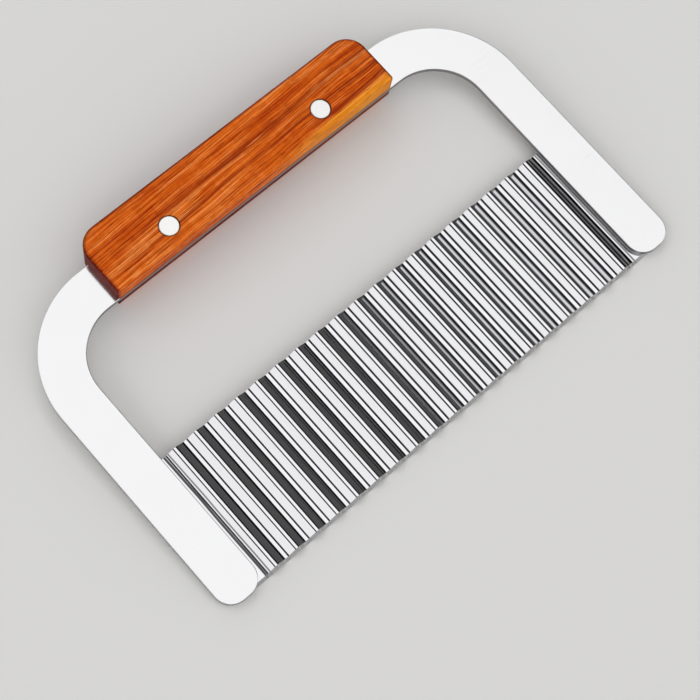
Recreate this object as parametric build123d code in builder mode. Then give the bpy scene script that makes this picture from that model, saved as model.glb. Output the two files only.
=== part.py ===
from build123d import *
import math
import os

# Soap cutter with a corrugated blade, lying on the back of its handle.
# X runs along the handle, Y from the cutting edge towards the handle, and Z up out of the front face.
# The origin is under the middle of the whole cutter, in the plane that the handle rests on.
# Every length is in millimetres.

# Frame: one flat strip of sheet bent edgewise into a C, so legs, bends and bar have one width.
overall_width = 190.0
strip_width = 15.0
plate_thickness = 2.0
outer_bend_radius = 33.5
foot_radius_share = 0.42
plate_edge_round = 0.25

# Blade: a corrugated sheet between the legs, with a flat tab behind each leg.
blade_height = 48.6
blade_thickness = 0.8
wave_pitch = 8.25
wave_depth = 1.8
wave_offset = -0.46
crest_bend_share = 0.185
valley_bend_share = 0.37
edge_setback = 0.5
bevel_height = 1.0
edge_land_share = 0.2
tab_margin = 5.0

# Spot welds: shallow electrode marks on the back of each tab.
weld_count = 3
weld_diameter_share = 0.35
weld_depth_share = 0.2
weld_span_share = 0.72

# Handle: one wooden block with a saw kerf, pushed over the bar from its outer side. The wood and the
# bar's edge are flush on the finger side, and the back is well rounded for the grip.
finger_gap = 47.4
handle_overhang = 7.0
handle_end_gap = 4.0
cheek_thickness = 7.5
outer_corner_radius = 7.5
inner_corner_radius = 1.0
front_edge_round = 1.2
back_round_share = 0.8

# Rivets: a stud pressed into a hollow cap, with both heads sunk flush into the wood.
rivet_spacing = 63.0
rivet_line_share = 0.45
head_diameter = 6.6
head_thickness = 1.6
head_edge_round = 0.3
barrel_diameter = 4.2
shank_diameter = 3.0
barrel_end_gap = 0.6
shank_end_gap = 0.8
bore_floor = 1.0

# Clearances of the fits.
kerf_gap = 0.05
kerf_floor_gap = 0.2
seat_gap = 0.1
hole_gap = 0.1
press_gap = 0.02

# One overrun for all cuts.
overrun = 1.0

# Levels along Y, counted from the feet.
overall_height = edge_setback + blade_height + finger_gap + strip_width + handle_overhang
foot_y = -overall_height / 2
edge_y = foot_y + edge_setback
bevel_y = edge_y + bevel_height
blade_top_y = edge_y + blade_height
bar_inner_y = blade_top_y + finger_gap
bar_outer_y = bar_inner_y + strip_width
handle_outer_y = bar_outer_y + handle_overhang
rivet_y = bar_inner_y + rivet_line_share * strip_width

# Levels along Z, counted from the face that the handle rests on.
plate_back_z = cheek_thickness
plate_front_z = plate_back_z + plate_thickness
handle_front_z = plate_front_z + cheek_thickness

# Sizes that follow from the driving dimensions.
leg_opening = overall_width - 2 * strip_width
plate_height = bar_outer_y - foot_y
opening_height = bar_inner_y - foot_y
inner_bend_radius = outer_bend_radius - strip_width
foot_radius = foot_radius_share * strip_width
handle_length = overall_width - 2 * outer_bend_radius - 2 * handle_end_gap
handle_width = handle_outer_y - bar_inner_y
handle_back_round = back_round_share * cheek_thickness
rivet_hole_radius = barrel_diameter / 2 + hole_gap
head_seat_radius = head_diameter / 2 + seat_gap
rivet_places = [(-rivet_spacing / 2, rivet_y), (rivet_spacing / 2, rivet_y)]

os.makedirs("parts", exist_ok=True)


# Frame plate
with BuildPart() as frame:
    with BuildSketch(Plane.XY.offset(plate_back_z)):
        with Locations((0, foot_y)):
            Rectangle(overall_width, plate_height, align=(Align.CENTER, Align.MIN))
        top_corners = vertices().group_by(Axis.Y)[-1]
        fillet(top_corners, radius=outer_bend_radius)
        with BuildSketch(mode=Mode.SUBTRACT):
            with Locations((0, foot_y)):
                Rectangle(leg_opening, opening_height, align=(Align.CENTER, Align.MIN))
            opening_corners = vertices().group_by(Axis.Y)[-1]
            fillet(opening_corners, radius=inner_bend_radius)
        foot_corners = vertices().group_by(Axis.Y)[0]
        fillet(foot_corners, radius=foot_radius)
    extrude(amount=plate_thickness)
    rims = faces().filter_by(Axis.Z).edges()
    fillet(rims, radius=plate_edge_round)
    with Locations((0, rivet_y, plate_front_z)):
        with GridLocations(rivet_spacing, 0, 2, 1):
            Hole(radius=rivet_hole_radius, depth=plate_thickness + overrun)

frame.part.label = "frame"
export_step(frame.part, "parts/frame.step")


# Corrugated blade
# The middle of the sheet runs in narrow bends on the crests and wider ones in the valleys, joined by
# straight flanks. The flank angle is that of the line that touches a valley's bend on one side and
# the next crest's bend on the other.
crest_radius = crest_bend_share * wave_pitch
valley_radius = valley_bend_share * wave_pitch
both_radii = crest_radius + valley_radius
centre_run = wave_pitch / 2
centre_rise = wave_depth - both_radii
centre_distance = math.hypot(centre_run, centre_rise)
flank_angle = math.atan2(centre_rise, centre_run) + math.asin(both_radii / centre_distance)
crest_count = int(leg_opening / wave_pitch)

# Corners of the sheet's back line before they are rounded: the tabs lie on the valley level.
tab_back_z = plate_back_z - blade_thickness
corner_share = 1 / math.cos(flank_angle) - 1
crest_back_radius = crest_radius - blade_thickness / 2
valley_back_radius = valley_radius + blade_thickness / 2
crest_corner_z = tab_back_z + wave_depth + crest_back_radius * corner_share
valley_corner_z = tab_back_z - valley_back_radius * corner_share
tab_corner_run = (crest_corner_z - tab_back_z) / math.tan(flank_angle)
first_crest_x = wave_offset - (crest_count - 1) / 2 * wave_pitch
last_crest_x = first_crest_x + (crest_count - 1) * wave_pitch
tab_end_x = overall_width / 2 - tab_margin

back_corners = [(-tab_end_x, tab_back_z), (first_crest_x - tab_corner_run, tab_back_z)]
back_radii = [valley_back_radius]
for crest in range(crest_count):
    crest_x = first_crest_x + crest * wave_pitch
    back_corners.append((crest_x, crest_corner_z))
    back_radii.append(crest_back_radius)
    if crest < crest_count - 1:
        back_corners.append((crest_x + wave_pitch / 2, valley_corner_z))
        back_radii.append(valley_back_radius)
back_corners += [(last_crest_x + tab_corner_run, tab_back_z), (tab_end_x, tab_back_z)]
back_radii.append(valley_back_radius)

# Spot welds lie on the middle line of each tab, spread over the height of the blade.
tab_lap = tab_end_x - leg_opening / 2
weld_x = leg_opening / 2 + tab_lap / 2
weld_radius = weld_diameter_share * tab_lap / 2
weld_depth = weld_depth_share * blade_thickness
weld_step = weld_span_share * blade_height / (weld_count - 1)
blade_middle_y = (edge_y + blade_top_y) / 2


def sheet_section(thickness):
    """Section across the corrugated sheet: its back line thickened towards the front."""
    with BuildLine() as sheet_outline:
        back_line = FilletPolyline(*back_corners, radius=back_radii)
        offset(back_line, amount=thickness, side=Side.LEFT)
    make_face(sheet_outline.edges())


with BuildPart() as blade:
    with BuildSketch(Plane.XZ.offset(-blade_top_y)):
        sheet_section(blade_thickness)
    extrude(amount=blade_top_y - bevel_y)
    with BuildSketch(Plane.XZ.offset(-bevel_y)):
        sheet_section(blade_thickness)
    with BuildSketch(Plane.XZ.offset(-edge_y)):
        sheet_section(edge_land_share * blade_thickness)
    loft(ruled=True)
    tab_back = Plane(origin=(0, blade_middle_y, tab_back_z), x_dir=(1, 0, 0), z_dir=(0, 0, -1))
    with Locations(tab_back):
        with GridLocations(2 * weld_x, weld_step, 2, weld_count):
            Hole(radius=weld_radius, depth=weld_depth)

blade.part.label = "blade"
export_step(blade.part, "parts/blade.step")


# Handle block
# Its back edges are rounded as a router leaves them: one round along the grip, one across its ends.
kerf_floor_y = bar_outer_y + kerf_floor_gap
kerf_depth = kerf_floor_y - bar_inner_y
kerf_width = plate_thickness + 2 * kerf_gap

with BuildPart() as handle:
    with BuildSketch(Plane.XY):
        with Locations((0, bar_inner_y)):
            Rectangle(handle_length, handle_width, align=(Align.CENTER, Align.MIN))
        fillet(vertices().group_by(Axis.Y)[-1], radius=outer_corner_radius)
        fillet(vertices().group_by(Axis.Y)[0], radius=inner_corner_radius)
    extrude(amount=handle_front_z)
    front_rim = faces().sort_by(Axis.Z)[-1].edges()
    fillet(front_rim, radius=front_edge_round)
    with BuildSketch(Plane.YZ):
        with Locations((bar_inner_y, 0)):
            Rectangle(handle_width, handle_front_z, align=Align.MIN)
        fillet(vertices().group_by(Axis.Y)[0], radius=handle_back_round)
    extrude(amount=handle_length / 2, both=True, mode=Mode.INTERSECT)
    with BuildSketch(Plane.XZ.offset(-handle_outer_y)):
        Rectangle(handle_length, handle_front_z, align=(Align.CENTER, Align.MIN))
        fillet(vertices().group_by(Axis.Y)[0], radius=handle_back_round)
    extrude(amount=handle_width, mode=Mode.INTERSECT)
    with Locations((0, kerf_floor_y, (plate_back_z + plate_front_z) / 2)):
        Box(
            handle_length + 2 * overrun,
            kerf_depth + overrun,
            kerf_width,
            align=(Align.CENTER, Align.MAX, Align.CENTER),
            mode=Mode.SUBTRACT,
        )
    with Locations((0, rivet_y, handle_front_z)):
        with GridLocations(rivet_spacing, 0, 2, 1):
            CounterBoreHole(rivet_hole_radius, head_seat_radius, head_thickness)
    with Locations(Plane(origin=(0, rivet_y, 0), x_dir=(1, 0, 0), z_dir=(0, 0, -1))):
        with GridLocations(rivet_spacing, 0, 2, 1):
            CounterBoreHole(rivet_hole_radius, head_seat_radius, head_thickness)

handle.part.label = "handle"
export_step(handle.part, "parts/handle.step")


# Rivets, each a stud from the back and a cap from the front
stud_seat_z = head_thickness
cap_seat_z = handle_front_z - head_thickness
barrel_end_z = stud_seat_z + barrel_end_gap
bore_end_z = cap_seat_z - bore_floor
shank_end_z = bore_end_z - shank_end_gap

for side, place in zip(("left", "right"), rivet_places):
    with BuildPart() as rivet_stud:
        with BuildSketch(Plane.XY):
            with Locations(place):
                Circle(head_diameter / 2)
        extrude(amount=head_thickness)
        fillet(edges().group_by(Axis.Z)[0], radius=head_edge_round)
        with BuildSketch(Plane.XY.offset(stud_seat_z)):
            with Locations(place):
                Circle(shank_diameter / 2)
        extrude(amount=shank_end_z - stud_seat_z)

    rivet_stud.part.label = side + "_rivet_stud"
    export_step(rivet_stud.part, "parts/" + side + "_rivet_stud.step")

    with BuildPart() as rivet_cap:
        with BuildSketch(Plane.XY.offset(cap_seat_z)):
            with Locations(place):
                Circle(head_diameter / 2)
        extrude(amount=head_thickness)
        fillet(edges().group_by(Axis.Z)[-1], radius=head_edge_round)
        with BuildSketch(Plane.XY.offset(barrel_end_z)):
            with Locations(place):
                Circle(barrel_diameter / 2)
        extrude(amount=cap_seat_z - barrel_end_z)
        with BuildSketch(Plane.XY.offset(barrel_end_z)):
            with Locations(place):
                Circle(shank_diameter / 2 + press_gap)
        extrude(amount=bore_end_z - barrel_end_z, mode=Mode.SUBTRACT)

    rivet_cap.part.label = side + "_rivet_cap"
    export_step(rivet_cap.part, "parts/" + side + "_rivet_cap.step")
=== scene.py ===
"""Looks of the soap cutter: finishes, studio light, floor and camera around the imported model."""
import math

import bpy
from mathutils import Matrix, Vector


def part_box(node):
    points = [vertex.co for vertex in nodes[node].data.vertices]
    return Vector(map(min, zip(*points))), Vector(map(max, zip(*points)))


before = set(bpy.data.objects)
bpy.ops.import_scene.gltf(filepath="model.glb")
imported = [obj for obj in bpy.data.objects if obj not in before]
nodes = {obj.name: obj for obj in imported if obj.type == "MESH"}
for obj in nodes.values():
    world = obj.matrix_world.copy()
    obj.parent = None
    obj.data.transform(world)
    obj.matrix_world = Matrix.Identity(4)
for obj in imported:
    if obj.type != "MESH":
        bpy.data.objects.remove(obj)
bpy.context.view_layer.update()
scene = bpy.context.scene
MM = 0.001

# Camera: place and axes in the part's frame, found from the outlines in the photograph. The focal
# length is in pixels of the picture.
CAMERA_PLACE = Vector((-161.18, -110.11, 544.77)) * MM
CAMERA_RIGHT = Vector((0.7443, -0.6608, 0.0967))
CAMERA_UP = Vector((0.6136, 0.7338, 0.2917))
CLIP_NEAR = 0.01
CLIP_FAR = 50.0
SENSOR_WIDTH = 36.0
PICTURE_WIDTH = 700
FOCAL_LENGTH = 1800

# Studio: a white light tent with two dark cards across it, which the polished steel mirrors. The
# stops give the light round the tent, in degrees from straight up and positive to the right. The
# y of a direction runs from -1 before the cutting edge to 1 behind the handle. The cards reach
# between two values of y, and the tent dims towards both of its ends. The ramp of the stops takes
# half a turn, with straight up at its middle.
TENT_LIGHT = (1.2, 1.2, 1.2)
DIM_LIGHT = (0.65, 0.65, 0.65)
DIM_STEP = (0.58, 0.97)
CARD_STOPS = (
    (-39.3, 1.12), (-37.3, 0.03), (-15.7, 0.03), (-13.7, 1.2), (30.0, 1.2), (31.5, 0.006),
    (59.5, 0.006), (62.5, 0.11), (90.0, 0.07),
)
CARD_REACH = (-0.30, 0.55)
CARD_EDGE = 0.10
HALF_TURN = 180
RAMP_MIDDLE = 0.5

# Floor: a plain pale sheet just clear of the back of the handle and of the cutting edge.
FLOOR_HALF = 4.0
FLOOR_GAP = 0.05 * MM
FLOOR_COLOUR = (0.78, 0.775, 0.765)
FLOOR_ROUGHNESS = 0.7

# Colour sockets of a Mix node, by number because its sockets share their names.
MIX_FACTOR = 0
MIX_A = 6
MIX_B = 7
MIX_RESULT = 2

# Middle value of a noise, and of the tone between a dark and a light steel.
MIDDLE = 0.5

# In the materials, places and widths are in millimetres. A noise is given by how it is stretched
# in each direction, its detail, its roughness and how far it is shifted. A step is given by the
# two values between which it goes, and by what it goes from and to where that isn't 0 and 1. A
# bump is given by its depth and its strength. A tone, gloss or relief that is named after a noise
# or a step is the share which that has in the colour, the roughness or the bump.

# Wood: a reddish hardwood. The grain's slope is along the handle, its tilt goes into the wood.
GRAIN_SLOPE = 0.035
GRAIN_TILT = 0.35
GRAIN_WANDER = 3.0
WANDER_NOISE = ((0.018, 0.06, 0.06), 2.0)
BROAD_NOISE = ((0.012, 0.38, 0.06), 3.0, 0.55)
STREAK_NOISE = ((0.022, 1.5, 0.25), 4.0, 0.62, 17.0)
FIBRE_NOISE = ((0.06, 3.2, 1.6), 4.0, 0.75, 41.0)
PORE_NOISE = ((0.16, 4.5, 4.5), 2.0, 0.6, 73.0)
SHIMMER_NOISE = ((0.55, 0.16, 0.16), 2.0, 0.5, 5.0)
BROAD_TONE = 1.0
STREAK_TONE = 1.25
FIBRE_TONE = 1.5
SHIMMER_TONE = 0.3
MIDDLE_TONE = 0.63
WOOD_STOPS = (
    (0.0, (0.16, 0.010, 0.001)), (0.25, (0.38, 0.028, 0.001)), (0.45, (0.58, 0.074, 0.002)),
    (0.62, (0.71, 0.120, 0.004)), (0.80, (0.85, 0.185, 0.018)), (1.0, (0.95, 0.33, 0.09)),
)

# Red-brown streaks. Each has its place across the grain, half its width, and the two places along
# the handle between which it grows. The first and widest runs along the middle of the handle.
STREAKS = (
    (55.0, 2.0, -62.0, 2.0), (45.4, 1.5, 18.0, 36.0), (57.6, 0.8, 36.0, 52.0),
    (49.8, 0.7, -60.0, -30.0),
)
STREAK_PATCHES = (0.75, 0.40, 0.35, 1.0)
STREAK_FRAY = 1.6
STREAK_SHARE = 0.85
STREAK_COLOUR = (0.26, 0.015, 0.001)

# Long thin lines: threads are darker than the wood around them, and glints are lighter.
THREAD_NOISE = ((0.040, 2.3, 1.2), 2.0, 0.45, 91.0)
THREAD_STEP = (0.575, 0.64, 0.0, 0.62)
THREAD_COLOUR = (0.24, 0.014, 0.001)
GLINT_NOISE = ((0.055, 2.6, 1.2), 2.0, 0.45, 131.0)
GLINT_STEP = (0.60, 0.68, 0.0, 0.55)
GLINT_COLOUR = (0.97, 0.32, 0.08)

# Sapwood: where its edge crosses the middle of the handle, how that edge slopes and frays, how
# soft it is, and the places along the handle between which the sapwood sets in.
SAP_PLACE = 38.3
SAP_SLOPE = 0.03
SAP_FRAY = 2.5
SAP_STEP = (-0.3, 0.9)
SAP_ALONG = (5.0, 35.0)
SAP_FIBRES = (0.3, 0.7)
SAP_SHARE = 0.9
SAP_DARK = (0.78, 0.20, 0.006)
SAP_LIGHT = (1.0, 0.42, 0.035)

PORE_STEP = (0.57, 0.67)
PORE_SHARE = 0.65
PORE_COLOUR = (0.12, 0.010, 0.002)

# Sides of the handle: its outline, and how far inside that its dark rim starts and is full. The
# dark rim and the darker outer side are painted shade, where these turn away from the light; the
# ends are darker end grain with painted shade on it. The steps to the outer side and to the ends
# are in parts of the surface's normal.
HANDLE_END = 57.5
HANDLE_OUTER = 59.25
CORNER = 7.5
EDGE_START = 1.5
EDGE_FULL = 0.3
EDGE_SHARE = 0.8
OUTER_STEP = (0.05, 0.60)
OUTER_SHARE = 0.9
END_STEP = (0.15, 0.80)
SIDE_SHADE = (0.28, 0.14, 0.5)
END_GRAIN_AND_SHADE = (0.20, 0.07, 0.3)

# Seam along the bar on the finger side, with painted shade where the joint and the back half lie
# in shade. The wood darkens towards that side, from FINGER_FAR to FINGER_NEAR of it, over
# SEAM_RISE in front of the bar and over the height of SEAM_DEEP behind it.
FINGER_SIDE = 37.25
FINGER_FAR = 2.5
FINGER_NEAR = 0.5
SEAM_FRONT = 9.55
SEAM_RISE = 1.1
SEAM_SHARE = 0.8
SEAM_BACK = 7.45
SEAM_DROP = 0.1
SEAM_DEEP = (2.0, 4.5)
SEAM_SHADE = (0.22, 0.10, 0.5)

# Rivets: places of their axes and radius of their seats, with a dark rim in the wood that is
# painted shade of the gap round each head.
RIVET_X = 31.5
RIVET_Y = 44.0
RIVET_SEAT = 3.4
RIM_WIDTH = 0.4
RIM_SHARE = 0.75
RIM_SHADE = (0.05, 0.012, 0.004)

FIBRE_RELIEF = 0.6
PORE_RELIEF = -0.8
STREAK_RELIEF = 0.4
WOOD_BUMP = (0.06, 0.5)
WOOD_ROUGHNESS = 0.46
FIBRE_GLOSS = 0.25
PORE_GLOSS = 0.2
WOOD_IOR = 1.14

# Frame: polished sheet with faint scratches. Its cut edges are duller than its faces, and painted
# dark as a painted reflection of the dark surroundings that they mirror; the step to them is in
# the upright part of the surface's normal.
POLISH_NOISE = ((0.12, 9.0, 9.0), 3.0, 0.6)
CROSS_NOISE = ((7.0, 0.15, 7.0), 2.0, 0.6, 11.0)
FRAME_CLOUDS = ((0.05, 0.05, 0.05), 3.0, 0.55, 29.0)
SCRATCH_NOISE = ((0.06, 5.0, 5.0), 1.0, 0.4, 53.0)
SCRATCH_STEP = (0.74, 0.80)
CLOUD_TONE = 0.35
POLISH_TONE = 0.25
FRAME_DARK = (0.735, 0.735, 0.745)
FRAME_LIGHT = (0.785, 0.785, 0.79)
FRAME_ROUGHNESS = 0.13
CLOUD_GLOSS = 0.08
POLISH_GLOSS = 0.06
SCRATCH_GLOSS = 0.12
CUT_STEP = (0.85, 0.45)
CUT_SHARE = 0.8
CUT_GLOSS = 0.25
CUT_EDGE_SHADE = (0.16, 0.15, 0.15)
CROSS_RELIEF = 0.35
SCRATCH_RELIEF = -0.8
FRAME_BUMP = (0.002, 0.35)

# Blade: bright rolled sheet.
ROLLED_NOISE = ((5.0, 0.10, 5.0), 3.0, 0.6)
SPECKLE_NOISE = ((4.2, 4.2, 4.2), 2.0, 0.7, 23.0)
BLADE_CLOUDS = ((0.08, 0.05, 0.08), 3.0, 0.5, 37.0)
BLADE_CLOUD_TONE = 0.4
SPECKLE_TONE = 0.7
BLADE_DARK = (0.70, 0.70, 0.72)
BLADE_LIGHT = (0.785, 0.78, 0.80)
BLADE_ROUGHNESS = 0.055
BLADE_CLOUD_GLOSS = 0.05
SPECKLE_GLOSS = 0.03
ROLLED_RELIEF = 0.6
BLADE_BUMP = (0.0012, 0.3)

# Dark bands across the sheet beside the legs: painted shade and painted dark reflection of the
# legs where the waves meet them. Each has its start and end along the handle, and how dark it is.
LEG_SHADE_BANDS = (
    (74.25, 74.65, 0.80), (75.40, 76.15, 0.95), (77.10, 78.00, 0.97), (78.45, 79.10, 0.75),
    (-79.15, -78.35, 0.92), (-77.45, -77.00, 0.75),
)
LEG_SHADE_NOISE = ((0.0, 0.05, 0.0), 1.0)
LEG_SHADE_SWAY = 0.6
LEG_SHADE_SOFT = 0.25
LEG_SHADE_COLOUR = (0.012, 0.012, 0.015)

# Ground bevel of the cutting edge, where the surface's normal turns towards the edge.
BEVEL_STEP = (-0.10, -0.30)
BEVEL_SHARE = 0.85
BEVEL_GLOSS = 0.2
MARK_NOISE = ((14.0, 0.8, 0.8), 2.0, 0.6, 61.0)
GROUND_DARK = (0.10, 0.10, 0.10)
GROUND_LIGHT = (0.50, 0.49, 0.48)

# Rivet heads: turned rings round the axis, with the scale of their noise first, and a duller
# border.
RING_NOISE = (9.0, 3.0, 0.6)
SANDED_NOISE = ((0.5, 8.0, 8.0), 2.0, 0.6)
RIVET_DARK = (0.76, 0.755, 0.74)
RIVET_LIGHT = (0.81, 0.805, 0.79)
BORDER_STEP = (2.75, 3.2)
BORDER_SHARE = 0.7
BORDER_COLOUR = (0.72, 0.69, 0.62)
RIVET_ROUGHNESS = 0.24
RING_GLOSS = 0.15
BORDER_GLOSS = 0.08
SANDED_RELIEF = 0.6
RIVET_BUMP = (0.001, 0.2)


class Graph:
    """Short calls that add linked nodes to one material or world."""

    def __init__(self, owner):
        owner.use_nodes = True
        self.tree = owner.node_tree
        self.tree.nodes.clear()

    def add(self, kind, inputs=(), out=0, **settings):
        """New node with its inputs plugged in. Gives the output asked for."""
        node = self.tree.nodes.new(kind)
        for key, value in settings.items():
            setattr(node, key, value)
        for key, value in dict(inputs).items():
            self.plug(node.inputs[key], value)
        return node.outputs[out] if len(node.outputs) else node

    def plug(self, socket, value):
        """Link to another node, or a constant."""
        if isinstance(value, bpy.types.NodeSocket):
            self.tree.links.new(value, socket)
        else:
            socket.default_value = value

    def calc(self, operation, *values, clamp=False):
        """Result of a Math node."""
        return self.add("ShaderNodeMath", enumerate(values), operation=operation, use_clamp=clamp)

    def total(self, first, *rest):
        """Sum of all values."""
        for value in rest:
            first = self.calc("ADD", first, value)
        return first

    def product(self, first, *rest):
        """Product of all values."""
        for value in rest:
            first = self.calc("MULTIPLY", first, value)
        return first

    def sway(self, noise, share):
        """Noise about its middle, times its share."""
        return self.product(self.calc("SUBTRACT", noise, MIDDLE), share)

    def step(self, value, low, high, to_low=0.0, to_high=1.0):
        """Smooth change from to_low to to_high while value goes from low to high."""
        inputs = {
            "Value": value, "From Min": low, "From Max": high, "To Min": to_low, "To Max": to_high,
        }
        return self.add("ShaderNodeMapRange", inputs, interpolation_type="SMOOTHSTEP")

    def band(self, value, low, high, soft):
        """1 between low and high, 0 outside, with soft edges."""
        rise = self.step(value, low - soft / 2, low + soft / 2)
        fall = self.step(value, high - soft / 2, high + soft / 2, 1.0, 0.0)
        return self.product(rise, fall)

    def split(self, vector):
        """The three parts of a vector."""
        node = self.tree.nodes.new("ShaderNodeSeparateXYZ")
        self.plug(node.inputs[0], vector)
        return node.outputs

    def join(self, x, y, z):
        """Vector of three parts."""
        return self.add("ShaderNodeCombineXYZ", enumerate((x, y, z)))

    def length(self, x, y):
        """Length of a flat vector."""
        flat = self.join(x, y, 0.0)
        return self.add("ShaderNodeVectorMath", {0: flat}, out="Value", operation="LENGTH")

    def scaled(self, vector, scales):
        """Vector with each part times its own scale."""
        return self.add("ShaderNodeVectorMath", {0: vector, 1: scales}, operation="MULTIPLY")

    def noise(self, vector, scale, detail, roughness):
        """Noise at a place."""
        inputs = {"Vector": vector, "Scale": scale, "Detail": detail, "Roughness": roughness}
        return self.add("ShaderNodeTexNoise", inputs)

    def normal(self):
        """The three parts of the surface's normal."""
        return self.split(self.add("ShaderNodeNewGeometry", out="Normal"))

    def ramp(self, value, stops):
        """Colour ramp; each stop is a place and a colour."""
        node = self.tree.nodes.new("ShaderNodeValToRGB")
        self.plug(node.inputs[0], value)
        elements = node.color_ramp.elements
        while len(elements) < len(stops):
            elements.new(1.0)
        for element, (position, colour) in zip(elements, stops):
            element.position = position
            element.color = (*colour, 1.0)
        return node.outputs[0]

    def blend(self, factor, a, b, mode="MIX"):
        """Colour that goes from a to b with the factor."""
        node = self.tree.nodes.new("ShaderNodeMix")
        node.data_type = "RGBA"
        node.blend_type = mode
        for socket, value in ((MIX_FACTOR, factor), (MIX_A, a), (MIX_B, b)):
            if isinstance(value, tuple):
                value = (*value, 1.0)
            self.plug(node.inputs[socket], value)
        return node.outputs[MIX_RESULT]

    def blend_clamped(self, factor, a, b):
        """Colour that goes from a to b with the factor held between 0 and 1."""
        return self.blend(self.calc("ADD", factor, 0.0, clamp=True), a, b)


def make_camera():
    """Camera with the viewpoint of the photograph."""
    data = bpy.data.cameras.new("camera")
    data.sensor_width = SENSOR_WIDTH
    data.lens = FOCAL_LENGTH / PICTURE_WIDTH * SENSOR_WIDTH
    data.clip_start = CLIP_NEAR
    data.clip_end = CLIP_FAR
    camera = bpy.data.objects.new("camera", data)
    scene.collection.objects.link(camera)
    right = CAMERA_RIGHT.normalized()
    back = right.cross(CAMERA_UP).normalized()
    axes = Matrix((right, back.cross(right), back)).transposed()
    camera.matrix_world = Matrix.Translation(CAMERA_PLACE) @ axes.to_4x4()
    scene.camera = camera


def make_world():
    """Light tent with its cards, fixed in space."""
    world = bpy.data.worlds.new("studio")
    scene.world = world
    g = Graph(world)
    x, y, z = g.split(g.add("ShaderNodeTexCoord", out="Generated"))
    turn = g.calc("DIVIDE", g.calc("ARCTAN2", x, z), math.pi)
    stops = []
    for degrees, light in CARD_STOPS:
        stops.append((degrees / HALF_TURN + RAMP_MIDDLE, (light, light, light)))
    cards = g.ramp(g.calc("ADD", turn, RAMP_MIDDLE), stops)
    dim = g.step(g.calc("ABSOLUTE", y), *DIM_STEP)
    tent = g.blend(dim, TENT_LIGHT, DIM_LIGHT)
    glow = g.blend(g.band(y, *CARD_REACH, CARD_EDGE), tent, cards)
    background = g.add("ShaderNodeBackground", {"Color": glow, "Strength": 1.0})
    g.add("ShaderNodeOutputWorld", {"Surface": background})


def new_material(name):
    """Material and the graph of its nodes."""
    material = bpy.data.materials.new(name)
    return material, Graph(material)


def make_floor():
    """Floor under the part, sloped so that it runs along both the handle and the edge."""
    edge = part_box("blade")[0]
    handle = nodes["handle"].data.vertices
    slope = min((v.co.z - edge.z) / (v.co.y - edge.y) for v in handle)
    corners = []
    for sign_x, sign_y in ((-1, -1), (1, -1), (1, 1), (-1, 1)):
        x = sign_x * FLOOR_HALF
        y = sign_y * FLOOR_HALF
        corners.append((x, y, edge.z + slope * (y - edge.y) - FLOOR_GAP))
    mesh = bpy.data.meshes.new("floor")
    mesh.from_pydata(corners, [], [(0, 1, 2, 3)])
    floor = bpy.data.objects.new("floor", mesh)
    scene.collection.objects.link(floor)
    material, g = new_material("floor")
    inputs = {"Base Color": (*FLOOR_COLOUR, 1.0), "Roughness": FLOOR_ROUGHNESS}
    shader = g.add("ShaderNodeBsdfPrincipled", inputs)
    g.add("ShaderNodeOutputMaterial", {"Surface": shader})
    mesh.materials.append(material)


def finish_surface(g, colour, roughness, normal, constants):
    """Shader with linked colour, roughness and normal, and constants on its other sockets."""
    inputs = {"Base Color": colour, "Roughness": roughness, "Normal": normal, **constants}
    shader = g.add("ShaderNodeBsdfPrincipled", inputs)
    g.add("ShaderNodeOutputMaterial", {"Surface": shader})


def bump(g, height, depth, strength):
    """Normal of a surface raised by height, where 1 stands for the depth."""
    inputs = {"Height": height, "Distance": depth * MM, "Strength": strength}
    return g.add("ShaderNodeBump", inputs)


def place(g):
    """Place on the part in millimetres."""
    coordinates = g.add("ShaderNodeTexCoord", out="Object")
    return g.scaled(coordinates, (1 / MM, 1 / MM, 1 / MM))


def grain(g, point, stretch, detail, roughness=0.5, shift=0.0):
    """Noise whose grains are 1 / stretch millimetres long in each direction."""
    shifts = {0: point, 1: (shift, shift, shift)}
    moved = g.add("ShaderNodeVectorMath", shifts, operation="ADD")
    return g.noise(g.scaled(moved, stretch), 1.0, detail, roughness)


def rivet_distance(g, x, y):
    """Distance from the axis of the nearer rivet."""
    off_x = g.calc("SUBTRACT", g.calc("ABSOLUTE", x), RIVET_X)
    off_y = g.calc("SUBTRACT", y, RIVET_Y)
    return g.length(off_x, off_y)


def add_streaks(g, colour, x, ring, streaks, fibres):
    """Red-brown streaks along the grain, patchy and frayed."""
    patches = g.step(streaks, *STREAK_PATCHES)
    for across, half_width, start, full in STREAKS:
        off_line = g.calc("ABSOLUTE", g.calc("SUBTRACT", ring, across))
        width = g.total(g.sway(fibres, STREAK_FRAY), half_width)
        middle = g.step(off_line, 0.0, width, 1.0, 0.0)
        streak = g.product(middle, patches, g.step(x, start, full))
        colour = g.blend(g.product(streak, STREAK_SHARE), colour, STREAK_COLOUR)
    return colour


def add_sapwood(g, colour, x, y, streaks, fibres):
    """Paler sapwood along the finger side, wider towards the right end."""
    sap_edge = g.total(SAP_PLACE, g.product(x, SAP_SLOPE), g.sway(streaks, SAP_FRAY))
    inside = g.step(g.calc("SUBTRACT", sap_edge, y), *SAP_STEP)
    sap = g.product(inside, g.step(x, *SAP_ALONG))
    sap_colour = g.blend(g.step(fibres, *SAP_FIBRES), SAP_DARK, SAP_LIGHT)
    return g.blend(g.product(sap, SAP_SHARE), colour, sap_colour)


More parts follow.
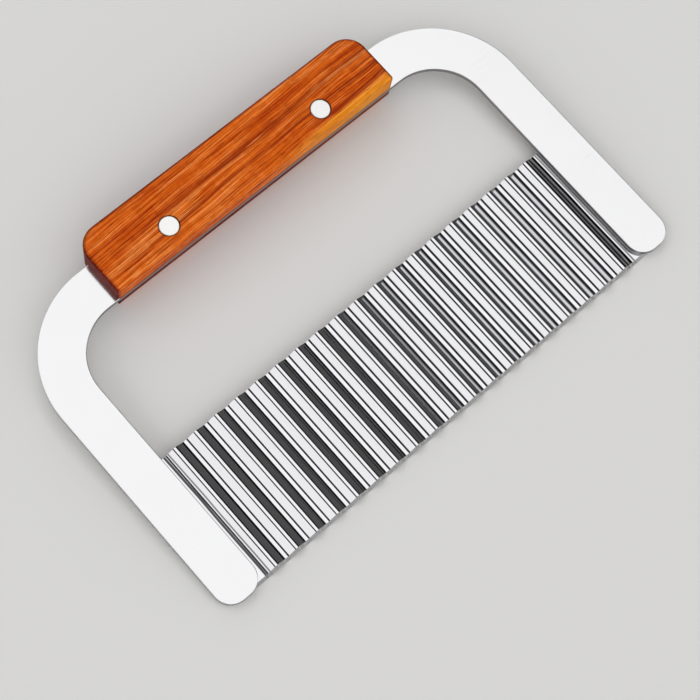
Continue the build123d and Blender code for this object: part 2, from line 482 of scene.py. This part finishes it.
def darken_sides(g, colour, x, y):
    """Painted shade on the outer side and round the rim, and darker end grain with painted shade
    on it.
    """
    nx, ny, _ = g.normal()
    outer = g.step(ny, *OUTER_STEP)
    end = g.step(g.calc("ABSOLUTE", nx), *END_STEP)
    past_x = g.calc("SUBTRACT", g.calc("ABSOLUTE", x), HANDLE_END - CORNER)
    past_y = g.calc("SUBTRACT", y, HANDLE_OUTER - CORNER)
    reach = g.length(g.calc("MAXIMUM", past_x, 0.0), g.calc("MAXIMUM", past_y, 0.0))
    edge = g.step(reach, CORNER - EDGE_START, CORNER - EDGE_FULL)
    side = g.calc("MAXIMUM", g.product(edge, EDGE_SHARE), g.product(outer, OUTER_SHARE))
    only_side = g.calc("SUBTRACT", side, end, clamp=True)
    # Painted shade on the outer side and the rim; the ends get darker end grain with painted
    # shade.
    colour = g.blend(only_side, colour, SIDE_SHADE, "MULTIPLY")
    return g.blend(end, colour, END_GRAIN_AND_SHADE, "MULTIPLY")


def paint_seam_shade(g, colour, y, z):
    """Painted shade along the bar's edge on the finger side, and on the back half below it."""
    finger = g.step(y, FINGER_SIDE + FINGER_FAR, FINGER_SIDE + FINGER_NEAR)
    behind = g.step(z, SEAM_BACK, SEAM_BACK - SEAM_DROP)
    above = g.step(z, SEAM_FRONT + SEAM_RISE, SEAM_FRONT, 0.0, SEAM_SHARE)
    below = g.product(behind, g.step(z, *SEAM_DEEP))
    # Painted shade along the joint with the bar and on the back half under it.
    seam = g.product(finger, g.blend(behind, above, below))
    return g.blend(seam, colour, SEAM_SHADE, "MULTIPLY")


def paint_rivet_rim_shade(g, colour, x, y):
    """Thin painted shade in the wood round each rivet, where the gap round its head lies in shade.
    """
    rim = g.step(rivet_distance(g, x, y), RIVET_SEAT, RIVET_SEAT + RIM_WIDTH, 1.0, 0.0)
    # Painted shade of the gap round each rivet head.
    return g.blend(g.product(rim, RIM_SHARE), colour, RIM_SHADE)


def wood_material():
    """Lightly varnished hardwood of the handle."""
    material, g = new_material("handle_wood")
    point = place(g)
    x, y, z = g.split(point)

    # The grain runs almost along the handle and wanders a little.
    wander = g.sway(grain(g, point, *WANDER_NOISE), GRAIN_WANDER)
    ring = g.total(y, g.product(x, -GRAIN_SLOPE), g.product(z, GRAIN_TILT), wander)
    line = g.join(x, ring, z)

    broad = grain(g, line, *BROAD_NOISE)
    streaks = grain(g, line, *STREAK_NOISE)
    fibres = grain(g, line, *FIBRE_NOISE)
    shimmer = grain(g, point, *SHIMMER_NOISE)
    tone = g.total(
        g.sway(broad, BROAD_TONE),
        g.sway(streaks, STREAK_TONE),
        g.sway(fibres, FIBRE_TONE),
        g.sway(shimmer, SHIMMER_TONE),
        MIDDLE_TONE,
    )
    colour = g.ramp(tone, WOOD_STOPS)
    colour = add_streaks(g, colour, x, ring, streaks, fibres)
    threads = g.step(grain(g, line, *THREAD_NOISE), *THREAD_STEP)
    colour = g.blend(threads, colour, THREAD_COLOUR)
    glints = g.step(grain(g, line, *GLINT_NOISE), *GLINT_STEP)
    colour = g.blend(glints, colour, GLINT_COLOUR)
    colour = add_sapwood(g, colour, x, y, streaks, fibres)

    # Fine dark pores, cut open along the grain.
    pores = g.step(grain(g, line, *PORE_NOISE), *PORE_STEP)
    colour = g.blend(g.product(pores, PORE_SHARE), colour, PORE_COLOUR)

    colour = darken_sides(g, colour, x, y)
    colour = paint_seam_shade(g, colour, y, z)
    colour = paint_rivet_rim_shade(g, colour, x, y)

    relief = g.total(
        g.product(fibres, FIBRE_RELIEF),
        g.product(pores, PORE_RELIEF),
        g.product(streaks, STREAK_RELIEF),
    )
    roughness = g.total(WOOD_ROUGHNESS, g.sway(fibres, FIBRE_GLOSS), g.product(pores, PORE_GLOSS))
    finish_surface(g, colour, roughness, bump(g, relief, *WOOD_BUMP), {"IOR": WOOD_IOR})
    return material


def frame_material():
    """Finely polished sheet of the frame."""
    material, g = new_material("frame_steel")
    point = place(g)
    polish = grain(g, point, *POLISH_NOISE)
    cross = grain(g, point, *CROSS_NOISE)
    clouds = grain(g, point, *FRAME_CLOUDS)
    scratches = g.step(grain(g, point, *SCRATCH_NOISE), *SCRATCH_STEP)
    tone = g.total(g.sway(clouds, CLOUD_TONE), g.sway(polish, POLISH_TONE), MIDDLE)
    colour = g.blend_clamped(tone, FRAME_DARK, FRAME_LIGHT)
    roughness = g.total(
        FRAME_ROUGHNESS,
        g.sway(clouds, CLOUD_GLOSS),
        g.sway(polish, POLISH_GLOSS),
        g.product(scratches, SCRATCH_GLOSS),
    )

    _, _, nz = g.normal()
    cut = g.step(g.calc("ABSOLUTE", nz), *CUT_STEP)
    # Painted dark reflection on the cut edges, on top of their real dullness.
    colour = g.blend(g.product(cut, CUT_SHARE), colour, CUT_EDGE_SHADE)
    roughness = g.total(roughness, g.product(cut, CUT_GLOSS))
    relief = g.total(polish, g.product(cross, CROSS_RELIEF), g.product(scratches, SCRATCH_RELIEF))
    finish_surface(g, colour, roughness, bump(g, relief, *FRAME_BUMP), {"Metallic": 1.0})
    return material


def blade_material():
    """Bright rolled sheet of the blade, ground along its edge."""
    material, g = new_material("blade_steel")
    point = place(g)
    x, _, _ = g.split(point)
    rolled = grain(g, point, *ROLLED_NOISE)
    speckle = grain(g, point, *SPECKLE_NOISE)
    clouds = grain(g, point, *BLADE_CLOUDS)
    tone = g.total(g.sway(clouds, BLADE_CLOUD_TONE), g.sway(speckle, SPECKLE_TONE), MIDDLE)
    colour = g.blend_clamped(tone, BLADE_DARK, BLADE_LIGHT)
    roughness = g.total(
        BLADE_ROUGHNESS,
        g.sway(clouds, BLADE_CLOUD_GLOSS),
        g.product(speckle, SPECKLE_GLOSS),
    )

    # Painted shade and dark reflection of the legs, in bands across the sheet beside them.
    across = g.total(x, g.sway(grain(g, point, *LEG_SHADE_NOISE), LEG_SHADE_SWAY))
    for start, end, share in LEG_SHADE_BANDS:
        leg_shade = g.product(g.band(across, start, end, LEG_SHADE_SOFT), share)
        colour = g.blend(leg_shade, colour, LEG_SHADE_COLOUR)

    # Fine grinding marks run across the bevel.
    _, ny, _ = g.normal()
    bevel = g.step(ny, *BEVEL_STEP)
    ground = g.blend(grain(g, point, *MARK_NOISE), GROUND_DARK, GROUND_LIGHT)
    colour = g.blend(g.product(bevel, BEVEL_SHARE), colour, ground)
    roughness = g.total(roughness, g.product(bevel, BEVEL_GLOSS))
    relief = g.total(g.product(rolled, ROLLED_RELIEF), speckle)
    finish_surface(g, colour, roughness, bump(g, relief, *BLADE_BUMP), {"Metallic": 1.0})
    return material


def rivet_material():
    """Turned metal of the rivets."""
    material, g = new_material("rivet_metal")
    point = place(g)
    x, y, _ = g.split(point)
    distance = rivet_distance(g, x, y)
    rings = g.noise(g.join(distance, 0.0, 0.0), *RING_NOISE)
    sanded = grain(g, point, *SANDED_NOISE)
    border = g.step(distance, *BORDER_STEP)
    colour = g.blend(rings, RIVET_DARK, RIVET_LIGHT)
    colour = g.blend(g.product(border, BORDER_SHARE), colour, BORDER_COLOUR)
    roughness = g.total(
        RIVET_ROUGHNESS,
        g.sway(rings, RING_GLOSS),
        g.product(border, BORDER_GLOSS),
    )
    relief = g.total(rings, g.product(sanded, SANDED_RELIEF))
    finish_surface(g, colour, roughness, bump(g, relief, *RIVET_BUMP), {"Metallic": 1.0})
    return material


make_camera()
make_world()
make_floor()
scene.view_settings.view_transform = "Standard"

finishes = {
    "handle": wood_material(),
    "frame": frame_material(),
    "blade": blade_material(),
}
rivet_finish = rivet_material()
for name, node in nodes.items():
    node.data.materials[0] = finishes.get(name, rivet_finish)
